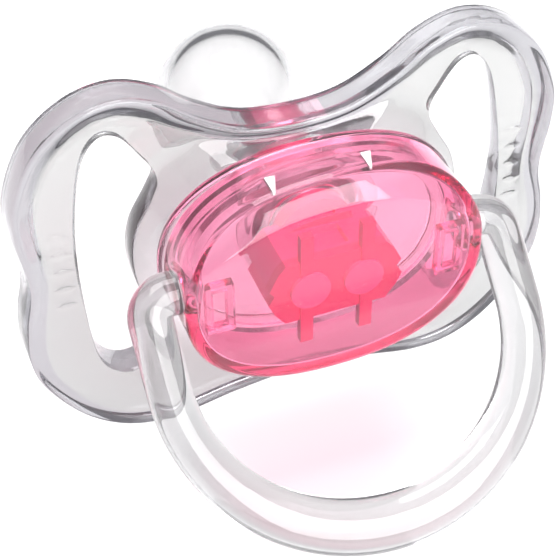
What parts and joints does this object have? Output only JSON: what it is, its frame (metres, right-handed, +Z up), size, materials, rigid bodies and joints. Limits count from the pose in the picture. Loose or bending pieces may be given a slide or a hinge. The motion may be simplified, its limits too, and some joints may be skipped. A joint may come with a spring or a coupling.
{
  "type": "pacifier",
  "caption": "Clear butterfly-shield pacifier with a hollow round silicone teat, a translucent pink oval knob and a clear swinging ring handle.",
  "frame": {"origin": "middle of the knob cover's flat front face", "axes": "+X to the right seen from the front, +Y from the knob through the shield to the tip of the teat, +Z up towards the shield's nose notch"},
  "size_m": [0.0482, 0.0481, 0.0349],
  "materials": {
    "clear_plastic": "clear polished polycarbonate or polypropylene, faint grey edges",
    "silicone": "clear soft silicone, slightly milky",
    "pink_plastic": "translucent pink polished plastic",
    "deep_pink_plastic": "deeper translucent pink polished plastic"
  },
  "bodies": {
    "soother": {"shield": "clear_plastic", "teat": "silicone", "knob_base": "pink_plastic", "teat_plug": "deep_pink_plastic", "knob_cover": "pink_plastic"},
    "ring": {"ring_handle": "clear_plastic"}
  },
  "joints": [
    {"name": "ring_swing", "type": "hinge", "parent": "soother", "child": "ring", "pos_m": [0, 0.0035, 0.00045], "axis": [-1, 0, 0], "range_deg": [-54, 144]}
  ]
}
